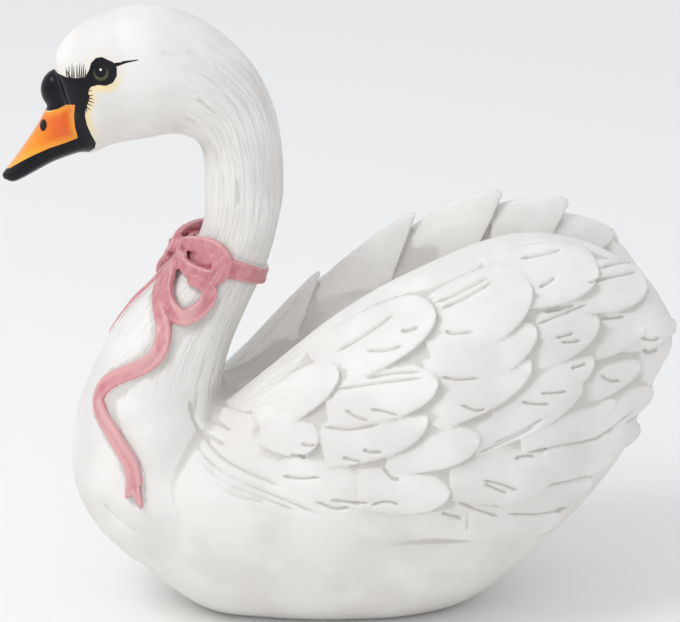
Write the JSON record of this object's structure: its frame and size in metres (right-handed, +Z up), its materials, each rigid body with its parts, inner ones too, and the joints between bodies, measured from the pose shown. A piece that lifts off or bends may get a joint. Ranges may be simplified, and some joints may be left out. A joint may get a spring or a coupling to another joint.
{
  "type": "swan figurine",
  "caption": "Standing ornament of a swimming swan, cast in one piece, with raised layered feathers, arched wings and a relief ribbon tied in a bow round its neck.",
  "frame": {"origin": "middle of the bounding box in plan, at the level of the flat underside", "axes": "+Z up, the swan faces -X, +Y towards the side away from the viewer of its left side"},
  "size_m": [0.4404, 0.2274, 0.4178],
  "materials": {
    "swan": "matt white glaze, hand-painted at the bill, eyes and ribbon"
  },
  "bodies": {
    "root": {"swan": "swan"}
  },
  "joints": []
}
